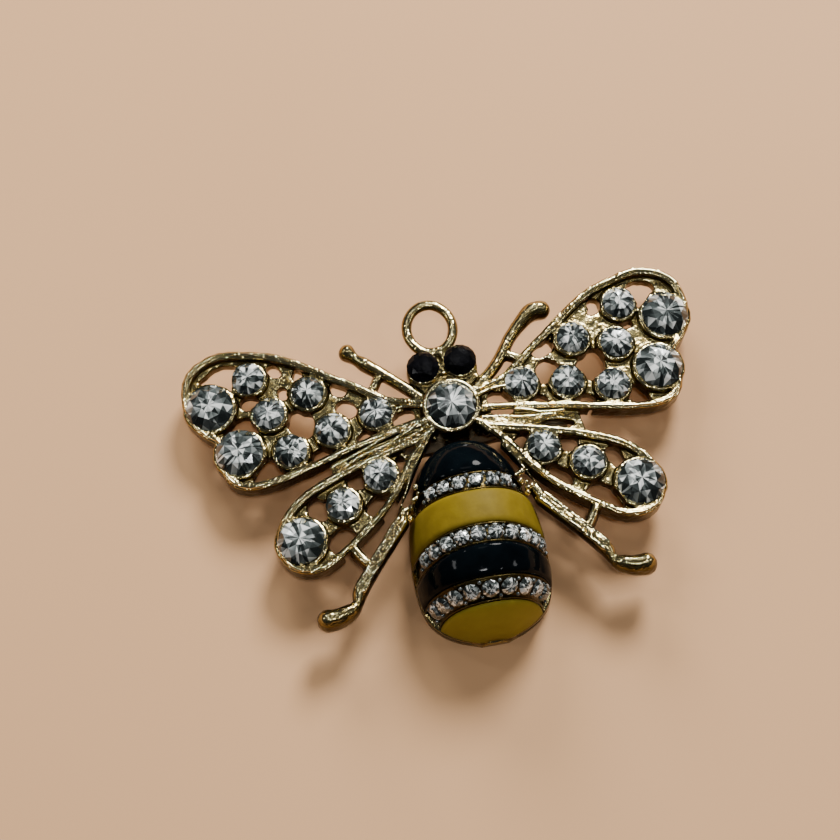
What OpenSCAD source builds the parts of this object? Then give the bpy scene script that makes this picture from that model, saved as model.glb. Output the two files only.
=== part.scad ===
// A bee brooch: one cast openwork frame of two forewings, two hindwings, antennae, hind legs,
// hanging loop and domed abdomen, set with cut stones and filled with four bands of enamel.
// The bee lies on its back: +Z points up out of the stones and +Y points to the head.

/* [Wings] */
// Reach of a forewing, from the middle of the thorax to the tip
fore_reach = 24.6; // [23:0.2:28]
// Height of a forewing's front edge above the middle of the thorax
fore_rise = 10.8; // [10:0.2:12]
// Reach of a hindwing, from the middle of the thorax to the tip
hind_reach = 18.3; // [17.4:0.1:20]
// Drop of a hindwing's lowest edge below the middle of the thorax
hind_drop = 13.3; // [12.6:0.1:14.4]
// Height of the raised rim round each wing
rim_height = 1.9; // [1.7:0.1:2.2]
// Width of the raised rim
rim_width = 0.7; // [0.5:0.05:0.9]
// Depth from the top of the rim down to the pierced floor
floor_depth = 0.75; // [0.5:0.05:0.9]
// Half width of a middling gap through a wing
gap_size = 1; // [0.9:0.02:1.1]
// Slope of the wings, falling from the thorax to their tips, in degrees
wing_droop = 5.2; // [3:0.2:6]
// Height of the wings' rims over the surface that the brooch lies on, at the thorax
wing_height = 5.8; // [5.8:0.1:7]

/* [Stones] */
// Width across a small wing stone
small_stone = 3.1; // [2.8:0.05:3.3]
// Width across a large wing stone
large_stone = 4.5; // [4.1:0.05:4.7]
// Width across the thorax stone
thorax_stone_width = 4.6; // [4.2:0.05:4.8]
// Width across an eye stone
eye_stone = 3.1; // [2.8:0.05:3.3]
// Width across a stone of the abdomen's rows
row_stone = 1.35; // [1.15:0.05:1.4]
// Distance from one row stone to the next
row_pitch = 1.6; // [1.55:0.05:1.75]
// Width of the metal edging on each side of a row of stones
row_edging = 0.18; // [0.12:0.02:0.3]
// Wall of metal round a set stone
cup_wall = 0.25; // [0.2:0.05:0.45]
// Gap between a stone or an enamel band and the metal that holds it
seat_gap = 0.05; // [0.03:0.01:0.08]

/* [Head] */
// Distance of the eyes from the middle line
eye_aside = 1.77; // [1.72:0.01:2]
// Distance of the eyes in front of the thorax stone
eye_ahead = 4.3; // [4.2:0.05:4.8]
// Distance of the hanging loop in front of the thorax stone
loop_ahead = 8.3; // [8:0.1:9]
// Outside radius of the hanging loop across the bee
loop_radius = 2.6; // [2.4:0.05:3]
// Outside radius of the hanging loop along the bee
loop_rise = 2.95; // [2.6:0.05:3.2]
// Distance of the loop from the middle line
loop_aside = -0.25; // [-0.5:0.05:0.5]
// Thickness of the loop's wire
loop_wire = 0.85; // [0.7:0.05:1.1]
// Reach of the antennae ahead of the thorax stone
antenna_reach = 8.2; // [7.6:0.1:9]
// Thickness of an antenna
antenna_thick = 1.05; // [0.9:0.05:1.2]
// Distance of the right antenna's tip from the middle line
antenna_spread = 10.6; // [10:0.1:11.4]

/* [Abdomen] */
// Distance of the abdomen's front end behind the thorax stone
body_front = 3.4; // [3.4:0.05:3.9]
// Length of the abdomen
body_length = 18.4; // [17.6:0.1:20]
// Width across the abdomen
body_width = 12.7; // [12:0.1:13.6]
// Height of the abdomen
body_height = 9.3; // [8.8:0.1:10]
// Wall from the abdomen's outer skin to its hollow
body_wall = 1.6; // [1.4:0.05:1.9]
// Depth of an enamel band
enamel_depth = 0.6; // [0.45:0.05:0.7]
// Height that the enamel crowns over the metal
enamel_crown = 0.12; // [0.05:0.01:0.2]
// Height of the bare metal edge under the enamel
foot_edge = 1.1; // [0.8:0.1:1.6]
// Turn of the hindwings, legs and abdomen against the forewings, in degrees
rear_turn = 2; // [0:0.5:3]

/* [Legs] */
// Reach of a hind leg to the side of the middle line
leg_reach = 14.8; // [14:0.1:16]
// Thickness of a hind leg
leg_thick = 1.25; // [1:0.05:1.4]
// Distance of the feet behind the thorax stone
leg_drop = 17.9; // [17.2:0.1:18.6]
// Thickness of the rounded foot
foot_thick = 1.9; // [1.5:0.05:2]

/* [Pin] */
// Length of the pin's base strip
pin_length = 21; // [18:0.5:22]
// Width of the base strip and its end blocks
pin_width = 1.6; // [1.3:0.05:1.6]
// Thickness of the base strip
pin_strip = 0.7; // [0.6:0.05:0.9]
// Height of the pin over the surface that the brooch lies on
pin_height = 2.6; // [2.5:0.05:2.6]
// Distance of the pin behind the thorax stone
pin_behind = 2.2; // [2.1:0.05:2.3]
// Thickness of the pin's wire
pin_wire = 0.8; // [0.6:0.05:0.9]
// Length of a hinge or catch block
pin_block = 2; // [1.6:0.1:2.6]
// Room between the pin's wire and the surface that the brooch lies on
pin_clear = 0.3; // [0.1:0.05:0.5]

/* [Hidden] */

// Sides of a large stone's girdle and of a small one's, and of the cups that hold them
LARGE_SIDES = 16;
SMALL_SIDES = 12;
// Sides of a stone's table, and of a whole row stone
TABLE_SIDES = 8;
// Sides of a gap cut through a wing
GAP_SIDES = 10;
// Points put between two points of a wing's outline
EDGE_STEPS = 2;
// Degrees between two points of the abdomen's section
SECTION_STEP = 15;
// Fullness of the abdomen's section, where 2 is an ellipse
SECTION_POWER = 2.3;
// Parts of a stone's width: its crown, girdle and pavilion, its table and its culet
CROWN = 0.17;
GIRDLE = 0.05;
PAVILION = 0.32;
TABLE = 0.62;
CULET = 0.2;
// Thickness of a disc that only shapes a hull
THIN = 0.01;
// A length that takes a cut clear of the solid
OVER = 0.1;
// Metal left under a set stone
CUP_BASE = 0.3;
// Height of a cup's lip below the top of the rim
LIP_DROP = 0.1;
// Mouth of the cup under an eye stone, which hides it, as a part of the stone's width
EYE_SEAT = 0.75;

// Outline of a forewing, one row a point: part of fore_reach, part of fore_rise
FORE_EDGE = [
    [0.070, 0.090], [0.140, 0.150], [0.228, 0.222], [0.325, 0.398], [0.431, 0.574],
    [0.533, 0.750], [0.630, 0.880], [0.732, 0.954], [0.829, 1.000], [0.927, 0.935],
    [0.984, 0.796], [1.000, 0.583], [0.984, 0.398], [0.939, 0.241], [0.898, 0.155],
    [0.904, -0.010], [0.890, -0.194], [0.825, -0.315], [0.707, -0.324], [0.569, -0.269],
    [0.419, -0.194], [0.289, -0.148], [0.160, -0.100], [0.080, -0.093]];
// Outline of a hindwing, one row a point: part of hind_reach, part of hind_drop
HIND_EDGE = [
    [0.095, -0.105], [0.190, -0.165], [0.300, -0.195], [0.492, -0.256], [0.678, -0.331],
    [0.831, -0.421], [0.940, -0.549], [1.000, -0.722], [0.978, -0.895], [0.896, -0.992],
    [0.776, -1.000], [0.656, -0.910], [0.536, -0.797], [0.421, -0.669], [0.322, -0.511],
    [0.246, -0.353], [0.170, -0.240]];
// Stones of a forewing, one row a stone: part of fore_reach, part of fore_rise, 1 if large
FORE_STONES = [
    [0.899, 0.506, 1], [0.822, 0.036, 1], [0.732, 0.685, 0], [0.520, 0.430, 0],
    [0.683, 0.322, 0], [0.630, -0.060, 0], [0.461, 0.042, 0], [0.283, 0.100, 0]];
// Stones of a hindwing, one row a stone: part of hind_reach, part of hind_drop, 1 if large
HIND_STONES = [[0.421, -0.398, 0], [0.634, -0.556, 0], [0.874, -0.759, 1]];
// Gaps cut through a forewing, one row a gap: part of fore_reach, part of fore_rise, half length and
// half width as parts of gap_size, turn in degrees, and 0 in both wings, 1 in the right, -1 in the left
FORE_GAPS = [
    [0.837, 0.824, 1.5, 0.8, -8, 0], [0.744, 0.509, 0.8, 0.55, 0, 0],
    [0.797, 0.300, 1.4, 0.85, -8, -1], [0.638, 0.750, 0.65, 0.5, 20, 0],
    [0.618, 0.528, 0.5, 0.5, 0, -1], [0.545, 0.667, 0.45, 0.45, 0, -1],
    [0.407, 0.426, 0.95, 0.5, 35, 0], [0.394, 0.222, 1.15, 0.9, 45, 0],
    [0.575, 0.213, 1.4, 1.3, 30, 0], [0.518, -0.134, 1.0, 0.65, -8, 0],
    [0.339, -0.065, 0.95, 0.6, -5, 0], [0.189, 0.015, 1.2, 0.75, -12, 0],
    [0.715, -0.148, 1.0, 0.95, 0, 0], [0.215, 0.259, 0.7, 0.5, 50, 1]];
// Gaps cut through a hindwing, one row a gap: part of hind_reach, part of hind_drop, then as above
HIND_GAPS = [
    [0.557, -0.357, 0.9, 0.7, -10, 0], [0.470, -0.594, 1.25, 0.9, -35, 0],
    [0.776, -0.515, 0.95, 0.85, -40, 0], [0.675, -0.789, 1.5, 1.15, -35, 0],
    [0.322, -0.350, 0.7, 1.1, 20, 0]];
// Web between the wings of one side, one row a corner: part of hind_reach, part of hind_drop
WEB_EDGE = [[0.110, -0.060], [0.645, -0.160], [0.670, -0.350], [0.110, -0.200]];
// Gap in that web: part of hind_reach, part of hind_drop, half length and width as parts of gap_size
WEB_GAP = [0.530, -0.222, 1.0, 0.35];
// Sections of the abdomen, one row a section: part of body_length from the front,
// part of half body_width, part of body_height
BODY_SECTIONS = [
    [0, 0.30, 0.56], [0.043, 0.52, 0.70], [0.098, 0.67, 0.79], [0.174, 0.78, 0.86],
    [0.283, 0.87, 0.92], [0.435, 0.965, 0.98], [0.598, 1, 1], [0.75, 0.975, 0.965],
    [0.848, 0.885, 0.87], [0.918, 0.72, 0.71], [0.967, 0.49, 0.50], [1, 0.22, 0.26]];
// Rows of small stones, one row a row: part of body_length, bow as above, stones in the row,
// steps that the row is shifted to the right, and its step as a part of row_pitch
ROWS = [[0.283, 0.010, 6, -0.1, 1], [0.576, 0.045, 10, 0.4, 1], [0.847, 0, 9, 0, 1.1]];
// Steps of a bowed edge on each side of the middle
BOW_STEPS = 5;
// Part of body_length past the abdomen's ends that the first and last bands are cut from
PAST_END = 0.1;
// Depth of a row stone's girdle under the abdomen's skin
ROW_DEPTH = 0.12;
// Part of body_length over which the skin's slope at a row is taken
SLOPE_STEP = 0.04;
// A hind leg from the thorax to the foot, one row a joint: part of leg_reach, part of leg_drop
// and part of leg_thick
LEG = [[0.150, 0.101, 0.8], [0.290, 0.257, 0.85], [0.372, 0.436, 0.9], [0.446, 0.570, 1],
       [0.655, 0.765, 1], [0.770, 0.883, 1.05], [0.800, 0.944, 0.7]];
// The foot: part of leg_reach, part of leg_drop and part of foot_thick
FOOT = [[0.850, 0.978, 0.75], [0.935, 1.000, 0.9], [1.000, 1.000, 1]];
// Bridge from a hindwing to a leg: two ends as parts of leg_reach and leg_drop
LEG_BRIDGE = [[0.760, 0.670], [0.670, 0.788]];
// Left antenna, one row a joint: part of antenna_spread, part of antenna_reach, part of antenna_thick
ANTENNA_LEFT = [[0.189, 0.12, 0.9], [0.434, 0.48, 0.9], [0.651, 0.76, 1.1], [0.726, 0.86, 0.85],
                [0.788, 0.96, 1.4]];
// Right antenna, with the same columns
ANTENNA_RIGHT = [[0.189, 0.12, 0.9], [0.462, 0.41, 0.95], [0.651, 0.72, 1], [0.774, 0.88, 1.15],
                 [0.896, 1.00, 1.45], [1.000, 1.01, 1.5]];
// Bridges from an antenna to its forewing: parts of antenna_spread and antenna_reach at both ends
ANTENNA_BRIDGES = [[[0.538, 0.62], [0.651, 0.42]], [[0.557, 0.55], [0.679, 0.46]]];
// Height of the limbs' middle line below the top of the rim
LIMB_DROP = 0.75;
// Depth of a limb as a part of its thickness
LIMB_DEPTH = 1.5;
// Sides of the limbs and of the loop's wire
LIMB_SIDES = 6;
// Sides of the hanging loop
LOOP_SIDES = 20;
// Radius of the solid thorax under the stone
hub_radius = thorax_stone_width / 2 + seat_gap + 2 * cup_wall;
// Half width and height of the neck between thorax and abdomen
NECK_HALF = 1.2;
NECK_HEIGHT = 1.9;

// Half width of the groove that a row of stones is set in
groove_half = row_stone / 2 + 2 * seat_gap;
half_body = body_width / 2;
hub_floor = pin_height + seat_gap;
head_end = max(loop_ahead + loop_rise, fore_rise);
tail_end = body_front + body_length + enamel_crown;
middle_y = (head_end - tail_end * cos(rear_turn)) / 2;
slope = tan(wing_droop);

function wing_z(x) = wing_height - abs(x) * slope;

// Smooth closed curve through a list of points
function curve_point(a, b, c, d, t) =
    0.5 * (2 * b + (c - a) * t + (2 * a - 5 * b + 4 * c - d) * t * t + (3 * b - a - 3 * c + d) * t * t * t);
function smooth_loop(points) = let (n = len(points)) [
    for (i = [0:n - 1], k = [0:EDGE_STEPS - 1])
        curve_point(points[(i + n - 1) % n], points[i], points[(i + 1) % n], points[(i + 2) % n],
                    k / EDGE_STEPS)];
function scaled(rows, size_x, size_y) = [for (r = rows) [r[0] * size_x, r[1] * size_y]];

// Half width and height of the abdomen at a part of its length
function body_at(part, column) = lookup(part, [for (s = BODY_SECTIONS) [s[0], s[column]]]);

// A point of the abdomen's skin: x and z at an angle from straight up, at a part of its length
function skin(part, angle) = [
    half_body * body_at(part, 1) * sign(sin(angle)) * pow(abs(sin(angle)), 2 / SECTION_POWER),
    body_height * body_at(part, 2) * pow(abs(cos(angle)), 2 / SECTION_POWER)];

// Angles of a row's stones, stepping outwards by row_pitch along the skin
function skin_speed(part, angle) = norm(skin(part, angle + 1) - skin(part, angle - 1)) / 2;
function next_angle(part, angle, step) =
    let (half = angle + step / 2 / skin_speed(part, angle)) angle + step / skin_speed(part, half);
function row_angle(part, steps, pitch) =
    steps <= 0 ? 0
    : steps < 1 ? next_angle(part, 0.01, pitch * steps)
    : next_angle(part, row_angle(part, steps - 1, pitch), pitch);

module place() {
    translate([0, -middle_y, 0])
        children();
}

module rear() {
    rotate([0, 0, -rear_turn])
        children();
}

// Right side of a wing's slope, or the left side as its mirror image
module on_wing(side) {
    mirror([side < 0 ? 1 : 0, 0, 0])
        translate([0, 0, wing_height])
            rotate([0, wing_droop, 0])
                children();
}

// A round cut stone with its girdle at z = 0
module gem(width, sides, girdle = GIRDLE) {
    hull() {
        translate([0, 0, CROWN * width])
            rotate([0, 0, 180 / TABLE_SIDES])
                cylinder(h = THIN, r = TABLE * width / 2, $fn = TABLE_SIDES);
        translate([0, 0, -girdle * width])
            cylinder(h = max(girdle * width, THIN), d = width, $fn = sides);
        translate([0, 0, -PAVILION * width])
            cylinder(h = THIN, r = CULET * width / 2, $fn = TABLE_SIDES);
    }
}

// The cup under a stone, down to the underside of the rim or as deep as the stone needs
module cup(width, sides) {
    deep = max(rim_height - LIP_DROP, PAVILION * width + seat_gap + CUP_BASE);
    translate([0, 0, -deep])
        cylinder(h = deep - LIP_DROP / 2, r = width / 2 + seat_gap + cup_wall, $fn = sides);
}

module cup_hole(width, sides) {
    deep = PAVILION * width + seat_gap;
    translate([0, 0, -deep])
        cylinder(h = deep + width, r = width / 2 + seat_gap, $fn = sides);
}

// An eye stone stands on a narrower cup, and hides it
function eye_drop() =
    (GIRDLE + (1 - EYE_SEAT) / (1 - CULET) * (PAVILION - GIRDLE)) * eye_stone + seat_gap;

module eye_cup() {
    deep = max(rim_height - LIP_DROP, PAVILION * eye_stone + seat_gap + CUP_BASE);
    translate([0, 0, -deep])
        cylinder(h = deep - eye_drop(), r = eye_stone / 2 - seat_gap, $fn = SMALL_SIDES);
}

module eye_hole() {
    translate([0, 0, -eye_drop()])
        cylinder(h = eye_stone, r = eye_stone / 2 + seat_gap, $fn = SMALL_SIDES);
    translate([0, 0, -PAVILION * eye_stone - seat_gap])
        cylinder(h = eye_stone, r = EYE_SEAT * eye_stone / 2 + seat_gap, $fn = SMALL_SIDES);
}

function stone_width(large) = large == 1 ? large_stone : small_stone;
function stone_sides(large) = large == 1 ? LARGE_SIDES : SMALL_SIDES;

// Puts children at a wing stone's seat, on the wing's slope
module at_stone(rows, i, size_x, size_y) {
    translate([rows[i][0] * size_x, rows[i][1] * size_y, -LIP_DROP])
        children();
}

module gap_holes(rows, size_x, size_y, side) {
    for (g = rows)
        if (g[5] == 0 || g[5] == side)
            translate([g[0] * size_x, g[1] * size_y])
                rotate(g[4])
                    scale([g[2], g[3]])
                        circle(r = gap_size, $fn = GAP_SIDES);
}

module wing(edge, gaps, stones, size_x, size_y, side) {
    outline = smooth_loop(scaled(edge, size_x, size_y));
    translate([0, 0, -rim_height])
        linear_extrude(rim_height)
            difference() {
                polygon(outline);
                offset(delta = -rim_width)
                    polygon(outline);
            }
    translate([0, 0, -rim_height])
        linear_extrude(rim_height - floor_depth)
            difference() {
                polygon(outline);
                gap_holes(gaps, size_x, size_y, side);
            }
    for (i = [0:len(stones) - 1])
        at_stone(stones, i, size_x, size_y)
            cup(stone_width(stones[i][2]), stone_sides(stones[i][2]));
}

module web() {
    translate([0, 0, -rim_height])
        linear_extrude(rim_height - floor_depth)
            difference() {
                polygon(scaled(WEB_EDGE, hind_reach, hind_drop));
                translate([WEB_GAP[0] * hind_reach, WEB_GAP[1] * hind_drop])
                    rotate(-12)
                        scale([WEB_GAP[2], WEB_GAP[3]])
                            circle(r = gap_size, $fn = GAP_SIDES);
            }
}

// A joint of a limb: a ball drawn out downwards, on the slope of the wings
module limb_ball(x, y, thick) {
    translate([x, y, wing_z(x) - LIMB_DROP])
        scale([1, 1, LIMB_DEPTH])
            sphere(d = thick, $fn = LIMB_SIDES);
}

// A chain of rounded bars through rows of x, y and thickness
module limb(rows) {
    for (i = [0:len(rows) - 2])
        hull() {
            limb_ball(rows[i][0], rows[i][1], rows[i][2]);
            limb_ball(rows[i + 1][0], rows[i + 1][1], rows[i + 1][2]);
        }
}

function leg_rows(side) = concat(
    [for (p = LEG) [side * p[0] * leg_reach, -p[1] * leg_drop, p[2] * leg_thick]],
    [for (p = FOOT) [side * p[0] * leg_reach, -p[1] * leg_drop, p[2] * foot_thick]]);
function antenna_rows(rows, side) =
    [for (p = rows) [side * p[0] * antenna_spread, p[1] * antenna_reach, p[2] * antenna_thick]];

module legs() {
    for (side = [-1, 1]) {
        limb(leg_rows(side));
        limb([for (p = LEG_BRIDGE) [side * p[0] * leg_reach, -p[1] * leg_drop, leg_thick]]);
    }
}

module antennae() {
    limb(antenna_rows(ANTENNA_LEFT, -1));
    limb(antenna_rows(ANTENNA_RIGHT, 1));
    for (i = [0, 1])
        limb([for (p = ANTENNA_BRIDGES[i])
                  [(i * 2 - 1) * p[0] * antenna_spread, p[1] * antenna_reach, antenna_thick]]);
}

module loop() {
    translate([loop_aside, loop_ahead, wing_height - LIMB_DROP])
        scale([1, loop_rise / loop_radius, 1])
            rotate_extrude($fn = LOOP_SIDES)
                translate([loop_radius - loop_wire / 2, 0])
                    circle(d = loop_wire, $fn = LIMB_SIDES);
    // the loop's two stems run together between the eyes
    for (side = [-1, 1])
        hull() {
            translate([loop_aside + side * (loop_radius - loop_wire) * 0.6,
                       loop_ahead - loop_rise * 0.75, wing_height - LIMB_DROP])
                sphere(d = loop_wire, $fn = LIMB_SIDES);
            translate([0, eye_ahead - eye_stone / 5, wing_height - LIMB_DROP])
                sphere(d = loop_wire, $fn = LIMB_SIDES);
        }
}

module hub() {
    translate([0, 0, hub_floor])
        cylinder(h = wing_height - floor_depth - hub_floor, r = hub_radius, $fn = LARGE_SIDES);
    translate([0, 0, wing_height])
        cup(thorax_stone_width, LARGE_SIDES);
    for (side = [-1, 1])
        translate([side * eye_aside, eye_ahead, wing_height])
            eye_cup();
    // the head's plate carries the eyes and joins them to the thorax
    hull()
        for (side = [-1, 1]) {
            translate([side * eye_aside, eye_ahead, wing_height - rim_height])
                cylinder(h = rim_height - floor_depth, r = eye_stone / 2, $fn = SMALL_SIDES);
            translate([side * eye_aside, 0, wing_height - rim_height])
                cylinder(h = rim_height - floor_depth, r = eye_stone / 3, $fn = SMALL_SIDES);
        }
}

// The bar between thorax and abdomen, grown by a clearance where the enamel goes round it
module neck(grow) {
    translate([-NECK_HALF - grow, -body_front - body_wall, hub_floor - grow])
        cube([2 * (NECK_HALF + grow), body_front + body_wall, NECK_HEIGHT + 2 * grow]);
}

// The abdomen's form, drawn in from its skin by an inset, down to z = low
module body_form(inset, low) {
    angles = [for (a = [-90:SECTION_STEP:90]) a];
    n = len(angles);
    shrink = (body_length - 2 * inset) / body_length;
    sections = [for (s = BODY_SECTIONS) [
        -body_front - body_length / 2 - (s[0] - 0.5) * body_length * shrink,
        max(half_body * s[1] - inset, half_body * 0.03),
        max(body_height * s[2] - inset, body_height * 0.04)]];
    points = [for (s = sections, i = [0:n - 1])
        let (a = angles[i], edge = (i == 0 || i == n - 1))
            [s[1] * sign(sin(a)) * pow(abs(sin(a)), 2 / SECTION_POWER), s[0],
             edge ? low : s[2] * pow(cos(a), 2 / SECTION_POWER)]];
    m = len(sections);
    sides = [for (j = [0:m - 2], i = [0:n - 1])
        [j * n + i, j * n + (i + 1) % n, (j + 1) * n + (i + 1) % n, (j + 1) * n + i]];
    polyhedron(points, concat(
        sides,
        [[for (i = [n - 1:-1:0]) i]],
        [[for (i = [0:n - 1]) (m - 1) * n + i]]));
}

// One edge across the abdomen, from its row of part of body_length and bow, moved back by a length
function bowed_edge(edge, shift) = [
    for (k = [-BOW_STEPS:BOW_STEPS])
        let (x = k / BOW_STEPS * half_body * 1.2)
            [x, -body_front - (edge[0] + edge[1] * pow(x / half_body, 2)) * body_length - shift]];

// A slab across the abdomen between two bowed edges
module bowed_slab(front, back, front_shift, back_shift, low) {
    behind = bowed_edge(back, back_shift);
    translate([0, 0, low])
        linear_extrude(body_height * 1.2)
            polygon(concat(
                bowed_edge(front, front_shift),
                [for (i = [len(behind) - 1:-1:0]) behind[i]]));
}

// A band fills the abdomen between two rows of stones, or between a row and an end
module band_slab(i, inset) {
    edging = groove_half + row_edging + inset;
    front = i == 0 ? [-PAST_END, 0] : ROWS[i - 1];
    back = i == len(ROWS) ? [1 + PAST_END, 0] : ROWS[i];
    bowed_slab(front, back, edging, -edging, foot_edge + inset);
}

// The groove that a row of stones is set in
module row_slab(i) {
    bowed_slab(ROWS[i], ROWS[i], -groove_half, groove_half, foot_edge);
}

module enamel_band(i) {
    intersection() {
        difference() {
            body_form(-enamel_crown, 0);
            body_form(enamel_depth - seat_gap, -OVER);
            neck(seat_gap);
        }
        band_slab(i, seat_gap);
    }
}

// Puts children at each stone of a row, with +Z out of the abdomen's skin
module along_row(i, inset) {
    part = ROWS[i][0];
    count = ROWS[i][2];
    // the skin's slope along the abdomen, from a section a little before and one a little behind
    fall = body_height * (body_at(part - SLOPE_STEP, 2) - body_at(part + SLOPE_STEP, 2));
    pitch = atan2(fall, 2 * SLOPE_STEP * body_length);
    for (k = [0:count - 1]) {
        steps = k - (count - 1) / 2 + ROWS[i][3];
        angle = sign(steps) * row_angle(part, abs(steps), row_pitch * ROWS[i][4]);
        here = skin(part, angle);
        beyond = skin(part, angle + 1);
        before = skin(part, angle - 1);
        tilt = atan2(before[1] - beyond[1], beyond[0] - before[0]);
        bow = ROWS[i][1] * pow(here[0] / half_body, 2);
        translate([here[0], -body_front - (part + bow) * body_length, here[1]])
            rotate([pitch * cos(tilt), tilt, 0])
                translate([0, 0, -inset])
                    children();
    }
}

module row_stones(i) {
    along_row(i, ROW_DEPTH)
        gem(row_stone, TABLE_SIDES, 0);
}

module abdomen() {
    difference() {
        body_form(0, 0);
        for (i = [0:len(ROWS)])
            difference() {
                band_slab(i, 0);
                body_form(enamel_depth, -OVER);
            }
        for (i = [0:len(ROWS) - 1])
            difference() {
                row_slab(i);
                body_form(ROW_DEPTH + PAVILION * row_stone + seat_gap, -OVER);
            }
        body_form(body_wall, -OVER);
    }
}

module stone_holes() {
    for (side = [-1, 1]) {
        on_wing(side)
            for (i = [0:len(FORE_STONES) - 1])
                at_stone(FORE_STONES, i, fore_reach, fore_rise)
                    cup_hole(stone_width(FORE_STONES[i][2]), stone_sides(FORE_STONES[i][2]));
        rear()
            on_wing(side)
                for (i = [0:len(HIND_STONES) - 1])
                    at_stone(HIND_STONES, i, hind_reach, hind_drop)
                        cup_hole(stone_width(HIND_STONES[i][2]), stone_sides(HIND_STONES[i][2]));
        translate([side * eye_aside, eye_ahead, wing_height])
            eye_hole();
    }
    translate([0, 0, wing_height])
        cup_hole(thorax_stone_width, LARGE_SIDES);
}

module casting() {
    color("#c9b98a")
        place()
            difference() {
                union() {
                    for (side = [-1, 1])
                        on_wing(side)
                            wing(FORE_EDGE, FORE_GAPS, FORE_STONES, fore_reach, fore_rise, side);
                    rear() {
                        for (side = [-1, 1])
                            on_wing(side) {
                                wing(HIND_EDGE, HIND_GAPS, HIND_STONES, hind_reach, hind_drop, side);
                                web();
                            }
                        legs();
                        abdomen();
                        neck(0);
                    }
                    antennae();
                    loop();
                    hub();
                }
                stone_holes();
            }
}

module thorax_stone() {
    color("#d6e0e4")
        place()
            translate([0, 0, wing_height])
                gem(thorax_stone_width, LARGE_SIDES);
}

module eye(side) {
    color("#111216")
        place()
            translate([side * eye_aside, eye_ahead, wing_height])
                gem(eye_stone, SMALL_SIDES);
}

module fore_stone(side, i) {
    color("#d6e0e4")
        place()
            on_wing(side)
                at_stone(FORE_STONES, i, fore_reach, fore_rise)
                    gem(stone_width(FORE_STONES[i][2]), stone_sides(FORE_STONES[i][2]));
}

module hind_stone(side, i) {
    color("#d6e0e4")
        place()
            rear()
                on_wing(side)
                    at_stone(HIND_STONES, i, hind_reach, hind_drop)
                        gem(stone_width(HIND_STONES[i][2]), stone_sides(HIND_STONES[i][2]));
}

module stone_row(i) {
    color("#dfe6e8")
        place()
            rear()
                row_stones(i);
}

module enamel(i) {
    color(i % 2 == 0 ? "#0c0f12" : "#8f7412")
        place()
            rear()
                enamel_band(i);
}

// A plain bar pin across the back: strip, hinge block, catch block and wire in one piece
module brooch_pin() {
    color("#b9b4a6")
        place()
            translate([0, -pin_behind, 0]) {
                translate([-pin_length / 2, -pin_width / 2, pin_height - pin_strip])
                    cube([pin_length, pin_width, pin_strip]);
                for (side = [-1, 1])
                    translate([side * (pin_length - pin_block) / 2 - pin_block / 2, -pin_width / 2, 0])
                        cube([pin_block, pin_width, pin_height - pin_strip / 2]);
                translate([-pin_length / 2 + pin_block / 2, 0, pin_wire / 2 + pin_clear])
                    rotate([0, 90, 0])
                        cylinder(h = pin_length - pin_block, d = pin_wire, $fn = 24);
            }
}

casting();
thorax_stone();
eye(-1);  // eye_left
eye(1);  // eye_right
for (i = [0:7]) {
    fore_stone(1, i);
    fore_stone(-1, i);
}
for (i = [0:2]) {
    hind_stone(1, i);
    hind_stone(-1, i);
}
stone_row(0);  // stone_row_front
stone_row(1);  // stone_row_middle
stone_row(2);  // stone_row_tail
enamel(0);  // enamel_black_front
enamel(1);  // enamel_yellow_middle
enamel(2);  // enamel_black_middle
enamel(3);  // enamel_yellow_tail
brooch_pin();
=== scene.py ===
# %% [markdown]
# # A bee brooch of cast metal, cut stones and enamel
# The real brooch is one casting of pale gold colour: four pierced wings, a head with a hanging
# loop and a hollow egg-shaped abdomen, set with cut stones and enamel. This notebook dresses the
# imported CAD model. Pieces are worked in millimetres and scaled to metres at the end.

# %% Load the fixed frame
import math
import random

import bmesh
import bpy
import numpy as np
from mathutils import Matrix, Vector


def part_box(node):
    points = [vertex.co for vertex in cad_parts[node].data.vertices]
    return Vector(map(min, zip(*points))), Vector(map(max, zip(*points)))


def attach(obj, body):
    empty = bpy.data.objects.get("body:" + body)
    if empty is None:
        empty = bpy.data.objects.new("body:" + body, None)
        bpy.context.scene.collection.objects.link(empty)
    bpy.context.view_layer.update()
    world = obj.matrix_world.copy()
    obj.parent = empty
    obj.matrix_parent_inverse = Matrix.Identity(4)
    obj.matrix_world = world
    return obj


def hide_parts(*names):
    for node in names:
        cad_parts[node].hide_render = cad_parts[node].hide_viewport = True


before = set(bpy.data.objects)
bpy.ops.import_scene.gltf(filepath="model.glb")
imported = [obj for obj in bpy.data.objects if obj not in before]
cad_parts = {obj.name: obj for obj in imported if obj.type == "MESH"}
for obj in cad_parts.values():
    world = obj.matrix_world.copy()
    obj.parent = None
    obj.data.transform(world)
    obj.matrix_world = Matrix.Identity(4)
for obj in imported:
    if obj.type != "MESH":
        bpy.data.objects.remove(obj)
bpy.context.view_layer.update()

# %% [markdown]
# ## Where things are
# The thorax stone is the middle of the bee. The wings slope down from it by a few degrees, and
# the hindwings, legs and abdomen are turned a little against the forewings, as the real ones are.

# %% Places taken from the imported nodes
MM = 0.001
WING_HEIGHT = 5.8
WING_DROOP = math.radians(5.2)
REAR_TURN = math.radians(2)


def middle_of(node):
    """The middle of a node's box, in millimetres."""
    low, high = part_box(node)
    return (low + high) / 2 / MM


thorax = middle_of("thorax_stone")
FRONT = Matrix.Translation((thorax.x, thorax.y, 0))
REAR = FRONT @ Matrix.Rotation(-REAR_TURN, 4, "Z")


def wing_frame(base, side):
    """The slope of a wing: x out to its tip, z = 0 at the top of its rim."""
    flip = Matrix.Scale(side, 4, (1, 0, 0))
    lift = Matrix.Translation((0, 0, WING_HEIGHT))
    return base @ flip @ lift @ Matrix.Rotation(WING_DROOP, 4, "Y")


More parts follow.
